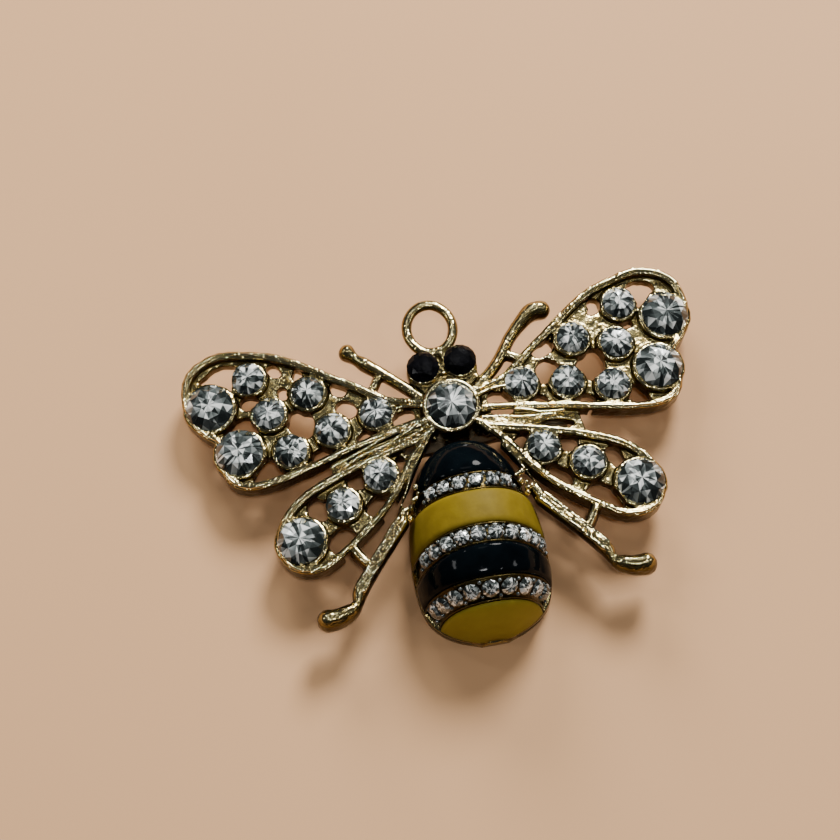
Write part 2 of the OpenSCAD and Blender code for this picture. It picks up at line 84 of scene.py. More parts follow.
print("Thorax stone at", thorax)

# %% [markdown]
# The places of the stones in the photograph give the camera's turn and scale: it looks down by
# about 68 degrees, turned by 12.7 degrees about the upright. The same view later puts the gaps
# of the wings, which are given by pixels, on the wings.

# %% View of the photograph
PICTURE_SIDE = 840
PICTURE_SCALE = 10.752  # pixels for a millimetre at the thorax stone
THORAX_PIXEL = (451.4, 405.2)
CAMERA_AWAY = 250
AIM = Vector((thorax.x, thorax.y, WING_HEIGHT))
TOWARDS = Vector((-0.0824, -0.3654, 0.9272)).normalized()
RIGHT = Vector((0.9755, -0.2198, 0)).normalized()
UP = TOWARDS.cross(RIGHT)


def from_picture(pixels, place):
    """Puts pixels of the photograph on the slope z = 0 of a wing, in its own millimetres."""
    back = place.inverted()
    eye = back @ (AIM + TOWARDS * CAMERA_AWAY)
    found = []
    for across, down in pixels:
        aside = RIGHT * (across - THORAX_PIXEL[0]) / PICTURE_SCALE
        above = UP * (THORAX_PIXEL[1] - down) / PICTURE_SCALE
        ray = back @ (AIM + aside + above) - eye
        found.append(eye - ray * eye.z / ray.z)
    return found


print("Camera at", AIM + TOWARDS * CAMERA_AWAY)

# %% [markdown]
# ## Helpers
# Modifiers work on a mesh for a moment, and the result is kept as a plain mesh. A finished piece
# is scaled to metres in its mesh, and its object stays at the origin.

# %% Modifiers that are applied at once
def in_scene(name, data):
    """A new object in the scene, for a mesh, a curve, a light or a camera."""
    made = bpy.data.objects.new(name, data)
    bpy.context.scene.collection.objects.link(made)
    return made


def worked(mesh, *steps):
    """The mesh after modifiers, each given as its kind and its settings."""
    rough = in_scene("rough", mesh)
    for kind, settings in steps:
        modifier = rough.modifiers.new(kind, kind)
        for name, value in settings.items():
            setattr(modifier, name, value)
    graph = bpy.context.evaluated_depsgraph_get()
    ready = rough.evaluated_get(graph)
    made = bpy.data.meshes.new_from_object(ready, preserve_all_data_layers=True, depsgraph=graph)
    bpy.data.objects.remove(rough)
    return made


def mesh_of(shape, name="shape"):
    """A mesh out of a bmesh, with every face pointing outwards."""
    bmesh.ops.recalc_face_normals(shape, faces=shape.faces)
    mesh = bpy.data.meshes.new(name)
    shape.to_mesh(mesh)
    shape.free()
    return mesh


def block(shape, outline, push):
    """Adds a block between a flat outline and its copy moved by push, and gives its points."""
    face = shape.faces.new([shape.verts.new(spot) for spot in outline])
    grown = bmesh.ops.extrude_face_region(shape, geom=[face])
    top = [g for g in grown["geom"] if isinstance(g, bmesh.types.BMVert)]
    bmesh.ops.translate(shape, verts=top, vec=push)
    return list(face.verts) + top


def block_mesh(shape):
    """A mesh out of blocks, with their large faces split into triangles."""
    bmesh.ops.triangulate(shape, faces=[face for face in shape.faces if len(face.verts) > 4])
    return mesh_of(shape)


def finished(mesh, name, finishes, node, smooth=True):
    """A piece of the brooch in metres, dressed, riding on the part and in the place of a node."""
    mesh.transform(Matrix.Scale(MM, 4))
    mesh.materials.clear()
    for finish in finishes:
        mesh.materials.append(finish)
    if smooth:
        mesh.shade_smooth()
    piece = in_scene(name, mesh)
    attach(piece, "root")
    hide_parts(node)
    triangles = sum(len(face.vertices) - 2 for face in mesh.polygons)
    print(f"{name}: {triangles} triangles")


# %% [markdown]
# ## Finishes
# Cast metal is never even: it has soft lumps from the mould and a fine grain. The enamel and the
# pin have weaker ones, so one node group makes them all. It puts out a normal and a mask.

# %% Node group for the uneven skin of a casting
def new_node(tree, kind, values=(), **settings):
    """A shader node with its settings, and with the values of some of its sockets."""
    node = tree.nodes.new("ShaderNode" + kind)
    for name, value in settings.items():
        setattr(node, name, value)
    for socket, value in dict(values).items():
        node.inputs[socket].default_value = value
    return node


def join(tree, source, output, target, socket):
    """Links an output of one node to a socket of another."""
    tree.links.new(source.outputs[output], target.inputs[socket])


def uneven_skin():
    """Soft lumps with a finer grain on them, each from a noise of its own."""
    tree = bpy.data.node_groups.new("uneven_skin", "ShaderNodeTree")
    for name in ("Lump Scale", "Lump Depth", "Grain Scale", "Grain Depth"):
        tree.interface.new_socket(name=name, in_out="INPUT", socket_type="NodeSocketFloat")
    tree.interface.new_socket(name="Normal", in_out="OUTPUT", socket_type="NodeSocketVector")
    tree.interface.new_socket(name="Mask", in_out="OUTPUT", socket_type="NodeSocketFloat")
    enter = tree.nodes.new("NodeGroupInput")
    leave = tree.nodes.new("NodeGroupOutput")
    place = new_node(tree, "TexCoord")
    noises = []
    bumps = []
    for word, detail in (("Lump", 2), ("Grain", 1)):
        noise = new_node(tree, "TexNoise", {"Detail": detail})
        bump = new_node(tree, "Bump", {"Strength": 1})
        join(tree, place, "Object", noise, "Vector")
        join(tree, enter, word + " Scale", noise, "Scale")
        join(tree, noise, "Fac", bump, "Height")
        join(tree, enter, word + " Depth", bump, "Distance")
        noises.append(noise)
        bumps.append(bump)
    join(tree, bumps[0], "Normal", bumps[1], "Normal")
    join(tree, bumps[1], "Normal", leave, "Normal")
    join(tree, noises[0], "Fac", leave, "Mask")
    return tree


SKIN = uneven_skin()


def new_finish(name, **constants):
    """A material with its Principled shader's sockets set, and its node tree."""
    finish = bpy.data.materials.new(name)
    finish.use_nodes = True
    shader = finish.node_tree.nodes["Principled BSDF"]
    for socket, value in constants.items():
        shader.inputs[socket.replace("_", " ")].default_value = value
    return finish, finish.node_tree, shader


def add_skin(tree, shader, lump_mm, lump_depth, grain_mm, grain_depth):
    """Gives a finish its lumps, with sizes and depths in millimetres."""
    skin = new_node(tree, "Group", node_tree=SKIN)
    for socket, value in (("Lump Scale", 1 / (lump_mm * MM)), ("Lump Depth", lump_depth * MM),
                          ("Grain Scale", 1 / (grain_mm * MM)), ("Grain Depth", grain_depth * MM)):
        skin.inputs[socket].default_value = value
    join(tree, skin, "Normal", shader, "Normal")
    return skin


def ramp(tree, source, output, target, socket, *stops):
    """Colours a socket by a node's value. Each stop is a place and a colour, or a grey."""
    node = new_node(tree, "ValToRGB")
    join(tree, source, output, node, "Fac")
    join(tree, node, "Color", target, socket)
    marks = node.color_ramp.elements
    while len(marks) < len(stops):
        marks.new(0.5)
    for mark, (spot, colour) in zip(marks, stops):
        mark.position = spot
        mark.color = (*colour, 1) if isinstance(colour, tuple) else (colour, colour, colour, 1)


def plain_finish(name, lumps, colours, roughs=(), **constants):
    """A finish whose colour follows its lumps, and its roughness too where that is given."""
    finish, tree, shader = new_finish(name, **constants)
    skin = add_skin(tree, shader, *lumps)
    ramp(tree, skin, "Mask", shader, "Base Color", *colours)
    if roughs:
        ramp(tree, skin, "Mask", shader, "Roughness", *roughs)
    return finish


# %% [markdown]
# The casting is plated in pale champagne gold. Its raised edges keep the plain pale gold, and its
# hollows and steep walls are painted darker and browner as painted shade. The mesh carries a
# shade value for each point, worked out from its own hollows further down.

# %% Pale gold for the casting, with painted shade in its hollows
def cast_gold():
    finish, tree, shader = new_finish("pale_cast_gold", Metallic=1.0)
    skin = add_skin(tree, shader, 0.7, 0.10, 0.22, 0.032)
    hollow = new_node(tree, "Attribute", attribute_name="hollow_shade")
    mix = new_node(tree, "Mix", {"Factor": 1}, data_type="RGBA", blend_type="MULTIPLY")
    # Painted shade: the colour turns brown and dark where a point lies deep in a hollow or on a steep
    # wall.
    ramp(tree, hollow, "Fac", mix, "A", (0.30, (0.86, 0.77, 0.455)),
         (0.48, (0.46, 0.385, 0.17)), (0.68, (0.085, 0.065, 0.024)))
    ramp(tree, skin, "Mask", mix, "B", (0.42, (1, 1, 1)), (0.7, (1.0, 0.86, 0.62)))
    join(tree, mix, "Result", shader, "Base Color")
    ramp(tree, hollow, "Fac", shader, "Roughness", (0.3, 0.1), (0.7, 0.3))
    return finish


CAST_GOLD = cast_gold()
BRIGHT_GRAIN = plain_finish(
    "bright_grain", (0.3, 0.03, 0.1, 0.01), [(0.3, (0.72, 0.70, 0.62)), (0.7, (0.9, 0.86, 0.72))],
    [(0.3, 0.25), (0.7, 0.4)], Metallic=0.8)

# %% [markdown]
# The clear stones are glass with a silver foil behind them, so no light goes through: each facet
# sends back reflections of its own, white or slate. Here the facets themselves are silvered under a
# glossy coat, and their reflections are painted: each corner of a facet carries a painted
# brightness and its place in the stone, which sorts the stone into wedges round its middle, each
# with a painted tone of its own.

# %% Glass with painted glints, and black glass
WEDGE_SPREAD = 2.4
WEDGE_SCALE = 1.15
WEDGE_STRENGTH = 0.75


def glass_with_painted_glints():
    finish, tree, shader = new_finish(
        "glass_with_painted_glints", Metallic=0.3, Roughness=0.12, IOR=1.6, Coat_Weight=0.6, Coat_Roughness=0.02)
    facet = new_node(tree, "Attribute", attribute_name="facet")
    spoke = new_node(tree, "Attribute", attribute_name="spoke")
    flat = new_node(tree, "VectorMath", {1: (1, 1, 0)}, operation="MULTIPLY")
    join(tree, spoke, "Vector", flat, 0)
    heading = new_node(tree, "VectorMath", operation="NORMALIZE")
    join(tree, flat, "Vector", heading, 0)
    reach = {1: (WEDGE_SPREAD, WEDGE_SPREAD, 0)}
    spread = new_node(tree, "VectorMath", reach, operation="MULTIPLY_ADD")
    join(tree, heading, "Vector", spread, 0)
    join(tree, spoke, "Vector", spread, 2)
    wedges = new_node(tree, "TexVoronoi", {"Scale": WEDGE_SCALE})
    join(tree, spread, "Vector", wedges, "Vector")
    split = new_node(tree, "SeparateColor")
    join(tree, wedges, "Color", split, "Color")
    shift = new_node(tree, "Math", {1: WEDGE_STRENGTH}, operation="MULTIPLY_ADD")
    join(tree, split, "Red", shift, 0)
    join(tree, facet, "Fac", shift, 2)
    # Painted reflections: the values run from slate shade to white glints.
    ramp(tree, shift, "Value", shader, "Base Color", (0.3, (0.012, 0.016, 0.015)),
         (0.62, (0.085, 0.1, 0.097)), (0.8, (0.31, 0.34, 0.33)), (1.0, (0.95, 0.97, 0.93)))
    return finish


GLINT_GLASS = glass_with_painted_glints()
BLACK_GLASS = plain_finish(
    "black_glass", (0.8, 0.02, 0.2, 0.004),
    [(0.3, (0.001, 0.001, 0.0012)), (0.7, (0.004, 0.004, 0.005))],
    Roughness=0.16, IOR=1.52, Specular_IOR_Level=0.05)

# %% [markdown]
# The enamel is a resin, poured between metal edges and a little proud of them. The black is
# glossy, with a cool tint. The mustard yellow is duller and a little cloudy. It is painted
# lighter on the tail's band than on the middle one, as painted light, for the tail faces away from the
# lamps.

# %% Enamels
PAINTED_LIGHT_FROM = -8
PAINTED_LIGHT_TO = -12.5


def yellow_enamel():
    finish, tree, shader = new_finish(
        "mustard_enamel", Roughness=0.55, IOR=1.5, Specular_IOR_Level=0.1)
    skin = add_skin(tree, shader, 1.1, 0.03, 0.3, 0.008)
    # Painted light: the colour grows lighter along the abdomen from the middle band to the tail.
    place = new_node(tree, "TexCoord")
    split = new_node(tree, "SeparateXYZ")
    join(tree, place, "Object", split, "Vector")
    span = {"From Min": PAINTED_LIGHT_FROM * MM, "From Max": PAINTED_LIGHT_TO * MM, "To Max": 0.6}
    along = new_node(tree, "MapRange", span)
    join(tree, split, "Y", along, "Value")
    shade = new_node(tree, "Math", {1: 0.35}, operation="MULTIPLY_ADD")
    join(tree, skin, "Mask", shade, 0)
    join(tree, along, "Result", shade, 2)
    ramp(tree, shade, "Value", shader, "Base Color", (0.05, (0.115, 0.077, 0.004)),
         (0.3, (0.165, 0.115, 0.008)), (0.9, (0.29, 0.225, 0.018)))
    return finish


BLACK_ENAMEL = plain_finish(
    "black_enamel_gloss", (1.6, 0.06, 0.5, 0.006),
    [(0.3, (0.0008, 0.0014, 0.002)), (0.7, (0.0015, 0.003, 0.004))],
    Roughness=0.08, IOR=1.5, Specular_IOR_Level=0.05)
YELLOW_ENAMEL = yellow_enamel()

# %% [markdown]
# ## The casting's wings, head and limbs
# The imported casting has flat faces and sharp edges. A copy of it is joined with round bars along
# the rims, limbs and loop, then turned to voxels and smoothed into one skin with the soft corners
# of a casting. The abdomen is cut away from the copy, because its edgings are finer than a voxel,
# and made further down.

# %% Abdomen's form
HALF_BODY = 12.7 / 2
BODY_HEIGHT = 9.3
BODY_FRONT = 3.4
BODY_LENGTH = 18.4
FULLNESS = 2 / 2.3
# Each section: its part of the length, and its width and height as parts of the largest
BODY_SECTIONS = [
    (0, 0.3, 0.56), (0.043, 0.52, 0.7), (0.098, 0.67, 0.79), (0.174, 0.78, 0.86),
    (0.283, 0.87, 0.92), (0.435, 0.965, 0.98), (0.598, 1, 1), (0.75, 0.975, 0.965),
    (0.848, 0.885, 0.87), (0.918, 0.72, 0.71), (0.967, 0.49, 0.5), (1, 0.22, 0.26)]
TAIL_END = (1.004, 0.2, 0.1185)
THINNEST = 0.05


def between(a, b, c, d, t):
    """A point of a smooth curve from b to c, with a and d as its neighbours."""
    return 0.5 * (2 * b + (c - a) * t + (2 * a - 5 * b + 4 * c - d) * t ** 2
                  + (3 * b - a - 3 * c + d) * t ** 3)


def point_of(path, i, closed):
    """Point i of a path, which goes round if it is closed, and else stops at its ends."""
    return path[i % len(path)] if closed else path[min(max(i, 0), len(path) - 1)]


def smooth_path(points, steps, closed=False):
    """A smooth curve through points, as a list of vectors."""
    rows = [Vector(point) for point in points]
    path = []
    for i in range(len(rows) if closed else len(rows) - 1):
        near = [point_of(rows, i + k, closed) for k in (-1, 0, 1, 2)]
        path += [between(*near, k / steps) for k in range(steps)]
    if not closed:
        path.append(rows[-1])
    return path


dense = smooth_path(BODY_SECTIONS, 12) + [TAIL_END]
parts = [row[0] for row in dense]
widths = [row[1] for row in dense]
heights = [row[2] for row in dense]


def skin_point(part, angle, lift):
    """A point over the abdomen's skin, at an angle from straight up."""
    wide = max(HALF_BODY * np.interp(part, parts, widths) + lift, THINNEST)
    high = max(BODY_HEIGHT * np.interp(part, parts, heights) + lift, THINNEST)
    across = math.copysign(abs(math.sin(angle)) ** FULLNESS, angle)
    along = BODY_LENGTH / 2 + (part - 0.5) * (BODY_LENGTH + 2 * lift)
    return REAR @ Vector((wide * across, -BODY_FRONT - along,
                          high * abs(math.cos(angle)) ** FULLNESS))


def bent_grid(along, around, spot):
    """A grid bent over the abdomen: spot gives a point for two numbers from 0 to 1."""
    shape = bmesh.new()
    bmesh.ops.create_grid(shape, x_segments=around, y_segments=along, size=1)
    for vert in shape.verts:
        vert.co = spot((vert.co.y + 1) / 2, (vert.co.x + 1) / 2)
    return shape


def bent_sheet(along, around, spot):
    """A bent grid as a mesh. Its outer side is only found after its normals are made anew."""
    shape = bent_grid(along, around, spot)
    shape.normal_update()
    return mesh_of(shape)


def thickened(mesh, wall):
    """The mesh as a solid, grown inwards from its faces."""
    return worked(mesh, ("SOLIDIFY", {"thickness": wall, "offset": -1}))


print("Abdomen is", BODY_LENGTH, "mm long and", 2 * HALF_BODY, "mm wide")

# %% [markdown]
# Every stone has a seat: a place with its z axis along the stone's own. The lips of the packed
# cups are cut down round the seats, so that the stones stand proud of the metal.

# %% Seats of the stones
SMALL_STONE = 3.1
LARGE_STONE = 4.5
THORAX_STONE = 4.6
GIRDLE_RISE = 0.12


def seat_of(node, side, base):
    """The middle of a wing stone's girdle, on the slope of its wing."""
    frame_of = wing_frame(base, side)
    middle = frame_of.inverted() @ middle_of(node)
    return frame_of @ Matrix.Translation((middle.x, middle.y, GIRDLE_RISE))


seats = {}
for node, width in (("thorax_stone", THORAX_STONE), ("eye_left", SMALL_STONE),
                    ("eye_right", SMALL_STONE)):
    middle = middle_of(node)
    seat = Matrix.Translation((middle.x, middle.y, WING_HEIGHT + GIRDLE_RISE))
    seats[node] = (seat, width)
for side, word in ((1, "right"), (-1, "left")):
    for wing, base, count, large in (("fore", FRONT, 8, (1, 2)), ("hind", REAR, 3, (3,))):
        for i in range(1, count + 1):
            node = f"{wing}_stone_{word}_{i}"
            seats[node] = (seat_of(node, side, base), LARGE_STONE if i in large else SMALL_STONE)
print("Seats:", len(seats))

# %% [markdown]
# The imported wings are pierced by gaps that are the same left and right. The real ones were cut
# by hand in the wax, and each differs, so these outlines open them further. They are pixels of
# the photograph round each gap, and a smooth curve goes through each outline.

# %% Gaps of the openwork
def oval(across, down, half_wide, half_tall):
    """The pixels of a small oval gap."""
    turns = [math.tau * k / 6 for k in range(6)]
    return [(across + half_wide * math.cos(a), down + half_tall * math.sin(a)) for a in turns]


FORE_GAPS_LEFT_PX = [
    [(196, 380), (203, 374), (212, 368), (222, 364), (233, 363), (235, 368), (232, 374), (233, 386),
     (228, 388), (214, 384), (203, 383)],
    [(238, 402), (241, 396), (248, 394), (256, 396), (260, 400), (257, 405), (250, 408), (242, 408)],
    [(221, 438), (225, 428), (232, 421), (241, 418), (251, 421), (257, 427), (257, 431), (248, 431),
     (236, 433), (226, 440)],
    [(286, 424), (291, 416), (299, 411), (309, 414), (314, 421), (313, 430), (306, 436), (298, 436),
     (291, 430)],
    oval(295.7, 373.7, 5.3, 5.3),
    oval(273.7, 370.5, 6.5, 5),
    oval(281, 394, 5.5, 3.6),
    oval(337.4, 389, 8, 5),
    [(311, 463), (312, 450), (320, 447), (330, 449), (336, 452), (330, 458), (320, 462)],
    [(251, 478), (258, 464), (265, 456), (272, 457), (278, 466), (285, 471), (272, 477), (260, 480)],
    oval(362, 437, 8, 4),
    [(391, 415), (398, 412), (408, 412), (415, 416), (412, 421), (402, 424), (393, 422)]]
FORE_GAPS_RIGHT_PX = [
    [(630, 290), (634, 288), (648, 288), (650, 292), (647, 297), (641, 305), (638, 304), (634, 297)],
    [(588, 308), (591, 303), (596, 300), (600, 301), (600, 308), (595, 311), (590, 312)],
    [(532, 350), (535, 344), (542, 340), (550, 339), (554, 342), (552, 348), (545, 353), (538, 355)],
    [(575, 362), (583, 354), (590, 347), (596, 345), (602, 350), (606, 358), (606, 366), (601, 374),
     (592, 377), (585, 373), (578, 367)],
    [(537, 372), (543, 366), (550, 359), (556, 357), (560, 362), (558, 367), (553, 372), (548, 380),
     (541, 380)],
    [(536, 402), (538, 396), (543, 392), (549, 395), (551, 402), (549, 406), (541, 407)],
    [(580, 400), (584, 396), (590, 394), (596, 396), (599, 400), (598, 405), (590, 407), (582, 404)],
    [(634, 396), (637, 389), (643, 386), (650, 390), (653, 396), (652, 402), (644, 404), (635, 403)],
    [(489, 402), (492, 395), (498, 391), (506, 391), (513, 398), (516, 405), (510, 411), (500, 413),
     (492, 410)],
    [(541, 419), (550, 416), (562, 415), (573, 417), (577, 420), (569, 423), (555, 423), (545, 422)]]
HIND_GAPS_RIGHT_PX = [
    [(512, 448), (517, 434), (523, 429), (529, 432), (527, 439), (521, 449)],
    [(560, 434), (567, 432), (576, 433), (580, 437), (578, 444), (572, 448), (565, 447), (561, 442)],
    [(550, 472), (557, 466), (564, 464), (571, 467), (575, 473), (574, 480), (568, 484), (560, 479),
     (553, 476)],
    [(586, 489), (592, 483), (602, 481), (612, 485), (620, 491), (626, 499), (625, 507), (617, 507),
     (605, 503), (594, 497)],
    [(609, 446), (614, 446), (622, 450), (626, 455), (623, 461), (619, 464), (614, 461), (611, 454)],
    [(487, 434), (491, 430), (499, 430), (503, 436), (501, 443), (495, 446), (489, 441)]]
HIND_GAPS_LEFT_PX = [
    [(345, 484), (350, 476), (357, 471), (363, 472), (365, 480), (362, 486), (352, 487)],
    [(306, 513), (312, 504), (320, 498), (327, 497), (327, 506), (328, 514), (322, 519), (312, 516)],
    [(327, 540), (330, 532), (338, 528), (350, 527), (357, 532), (358, 540), (352, 550), (343, 556),
     (334, 552), (328, 546)],
    [(372, 500), (378, 495), (388, 492), (395, 495), (393, 505), (386, 513), (378, 517), (370, 513)],
    [(399, 461), (405, 457), (411, 461), (408, 470), (403, 476), (398, 470)],
    [(402, 449), (405, 440), (412, 435), (421, 433), (426, 436), (424, 444), (416, 451), (407, 453)],
    [(428, 463), (430, 452), (436, 443), (446, 437), (458, 433), (469, 431), (474, 435), (472, 444),
     (460, 448), (448, 452), (438, 460)]]
CUT_FROM = -4
CUT_HIGH = 6


def gaps_blank():
    """Upright blocks of the gaps' outlines, which go right through the wings."""
    shape = bmesh.new()
    for gaps, base, side in ((FORE_GAPS_LEFT_PX, FRONT, -1), (FORE_GAPS_RIGHT_PX, FRONT, 1),
                             (HIND_GAPS_LEFT_PX, REAR, -1), (HIND_GAPS_RIGHT_PX, REAR, 1)):
        place = wing_frame(base, side)
        for pixels in gaps:
            spots = [(spot.x, spot.y, CUT_FROM) for spot in from_picture(pixels, place)]
            verts = block(shape, smooth_path(spots, 3, True), (0, 0, CUT_HIGH))
            bmesh.ops.transform(shape, matrix=place, verts=verts)
    return block_mesh(shape)


print("Gaps in the forewings:", len(FORE_GAPS_LEFT_PX), "left,", len(FORE_GAPS_RIGHT_PX), "right")

# %% Wings, head and limbs cut from a copy of the casting
BODY_CLEARANCE = 0.02
LIP_RISE = 0.83
LIP_BORDER = 0.38


def abdomen_blank():
    """A closed block of the abdomen's form, which reaches below the brooch."""
    shape = bent_grid(
        60, 48, lambda s, t: skin_point(s, (2 * t - 1) * math.pi / 2, BODY_CLEARANCE))
    for vert in shape.verts:
        if vert.is_boundary and vert.co.z < 0.6:
            vert.co.z = -1
    bmesh.ops.holes_fill(shape, edges=[edge for edge in shape.edges if edge.is_boundary])
    return block_mesh(shape)


def lips_blank():
    """Flat discs over the cups, a little wider than the stones."""
    shape = bmesh.new()
    for node, (seat, width) in seats.items():
        if node.startswith(("fore", "hind")):
            lift = Matrix.Translation((0, 0, LIP_RISE))
            radius = width / 2 + LIP_BORDER
            bmesh.ops.create_cone(shape, cap_ends=True, segments=40, radius1=radius,
                                  radius2=radius, depth=2, matrix=seat @ lift)
    return mesh_of(shape)


LEG_ROOTS = [
    (1.6, -2.4), (3.3, -3.8), (4.4, -5.3), (5.3, -6.9), (6.3, -8.5), (6.1, -9), (4.9, -8.8),
    (4.1, -7.4), (3.1, -5.6), (1.3, -3.4)]


def leg_roots_blank():
    """Upright blocks round the upper ends of the legs, which the real abdomen hides."""
    shape = bmesh.new()
    for side in (-1, 1):
        block(shape, [(side * x, y, 2) for x, y in LEG_ROOTS], (0, 0, CUT_HIGH))
    bmesh.ops.transform(shape, matrix=REAR, verts=shape.verts)
    return block_mesh(shape)


packed = bmesh.new()
packed.from_mesh(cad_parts["casting"].data)
bmesh.ops.scale(packed, vec=(1 / MM,) * 3, verts=packed.verts)
bmesh.ops.remove_doubles(packed, verts=packed.verts, dist=0.001)
wings_mesh = mesh_of(packed)
for blank in (abdomen_blank(), lips_blank(), gaps_blank(), leg_roots_blank()):
    cutter = in_scene("cutter", blank)
    wings_mesh = worked(
        wings_mesh, ("BOOLEAN", {"operation": "DIFFERENCE", "object": cutter, "solver": "MANIFOLD"}))
    bpy.data.objects.remove(cutter)
print("Wings, head and limbs:", len(wings_mesh.polygons), "faces")

# %% [markdown]
# Rims, limbs and the loop are round bars. A curve with a round section makes such a bar along
# any path, thicker or thinner at each point, and goes into the casting's shape as a mesh.

# %% Round bars along a path
cast = bmesh.new()
cast.from_mesh(wings_mesh)


def lay_bar(path, radii, closed=False, depth=1.0, place=Matrix.Identity(4)):
    """Adds a round bar to the casting. depth draws its section out in z."""
    curve = bpy.data.curves.new("bar", "CURVE")
    curve.dimensions = "3D"
    curve.bevel_depth = 1
    curve.bevel_resolution = 3
    curve.use_fill_caps = True
    line = curve.splines.new("POLY")
    line.points.add(len(path) - 1)
    line.use_cyclic_u = closed
    for point, spot, radius in zip(line.points, path, radii):
        point.co = (spot[0], spot[1], spot[2] / depth, 1)
        point.radius = radius
    rough = in_scene("bar", curve)
    graph = bpy.context.evaluated_depsgraph_get()
    bar = bpy.data.meshes.new_from_object(rough.evaluated_get(graph), depsgraph=graph)
    bpy.data.objects.remove(rough)
    bar.transform(place @ Matrix.Diagonal((1, 1, depth, 1)))
    cast.from_mesh(bar)
    if not closed:
        for spot, radius in ((path[0], radii[0]), (path[-1], radii[-1])):
            knob = place @ Matrix.Translation(spot) @ Matrix.Diagonal((1, 1, depth, 1))
            bmesh.ops.create_icosphere(cast, subdivisions=2, radius=radius, matrix=knob)


# %% Rims of the wings
FORE_REACH = 24.6
FORE_RISE = 10.8
HIND_REACH = 18.3
HIND_DROP = 13.3
RIM_WIDTH = 0.7
RIM_RADIUS = 0.33
RIM_SINK = 0.3
FORE_EDGE = [
    (0.07, 0.09), (0.14, 0.15), (0.228, 0.222), (0.325, 0.398), (0.431, 0.574), (0.533, 0.75),
    (0.63, 0.88), (0.732, 0.954), (0.829, 1), (0.927, 0.935), (0.984, 0.796), (1, 0.583),
    (0.984, 0.398), (0.939, 0.241), (0.898, 0.155), (0.904, -0.01), (0.89, -0.194), (0.825, -0.315),
    (0.707, -0.324), (0.569, -0.269), (0.419, -0.194), (0.289, -0.148), (0.16, -0.1),
    (0.08, -0.093)]
HIND_EDGE = [
    (0.095, -0.105), (0.19, -0.165), (0.3, -0.195), (0.492, -0.256), (0.678, -0.331),
    (0.831, -0.421), (0.94, -0.549), (1, -0.722), (0.978, -0.895), (0.896, -0.992), (0.776, -1),
    (0.656, -0.91), (0.536, -0.797), (0.421, -0.669), (0.322, -0.511), (0.246, -0.353),
    (0.17, -0.24)]


def beside(path, shift, rise, closed=False):
    """A path moved to its right and up. The wings' edges run clockwise, so they draw in."""
    moved = []
    for i, spot in enumerate(path):
        ahead = (point_of(path, i + 1, closed) - point_of(path, i - 1, closed)).normalized()
        moved.append(spot + Vector((ahead.y, -ahead.x, 0)) * shift + Vector((0, 0, rise)))
    return moved


def wing_edges():
    """Each wing's edge, as a smooth closed curve on the slope of the wing, and its place."""
    for side in (1, -1):
        for rows, reach, rise, base in ((FORE_EDGE, FORE_REACH, FORE_RISE, FRONT),
                                        (HIND_EDGE, HIND_REACH, HIND_DROP, REAR)):
            edge = smooth_path([(x * reach, y * rise, 0) for x, y in rows], 4, True)
            yield edge, wing_frame(base, side)


for edge, place in wing_edges():
    rim = beside(edge, RIM_WIDTH / 2, -RIM_SINK, True)
    lay_bar(rim, [RIM_RADIUS] * len(rim), closed=True, place=place)
print("Casting with its rims:", len(cast.faces), "faces")

# %% [markdown]
# Legs, antennae and the hanging loop are bars too. The real ones were cut in wax by hand, so
# their thickness changes from joint to joint.

# %% Limbs and loop
LIMB_Z = WING_HEIGHT - 0.75
LIMB_DEPTH = 1.5
LIMB_SWELL = 0.06
LEG_REACH = 14.8
# Each joint of a limb: how far it is aside and behind or ahead, and how thick
LEG = [(0.446, 10.2, 1.25), (0.655, 13.7, 1.25), (0.77, 15.8, 1.31), (0.8, 16.9, 0.87),
       (0.85, 17.5, 1.43), (0.935, 17.9, 1.71), (1, 17.9, 1.9)]
RIDGED_JOINTS = 3
ANTENNA_REACH = 8.2
ANTENNA_LEFT = [
    (2, 0.12, 0.95), (4.6, 0.48, 0.95), (6.9, 0.76, 1.16), (7.7, 0.86, 0.89), (8.35, 0.96, 1.47)]
ANTENNA_RIGHT = [
    (2, 0.12, 0.95), (4.9, 0.41, 1), (6.9, 0.72, 1.05), (8.2, 0.88, 1.2), (9.5, 1, 1.52),
    (10.6, 1.01, 1.57)]
LOOP_AHEAD = 8.3
LOOP_ASIDE = -0.25
LOOP_ACROSS = 2.175
LOOP_ALONG = 2.47
LOOP_RADIUS = 0.465
STEM_RADIUS = 0.3825
EYE_AHEAD = 4.3


def limb_height(x):
    return LIMB_Z - abs(x) * math.tan(WING_DROOP)


def lay_limb(rows, base):
    """A bar through rows of x, y and thickness, on the slope of the wings."""
    smooth = smooth_path(rows, 5)
    path = [Vector((row[0], row[1], limb_height(row[0]))) for row in smooth]
    radii = [row[2] / 2 + LIMB_SWELL for row in smooth]
    lay_bar(path, radii, depth=LIMB_DEPTH, place=base)


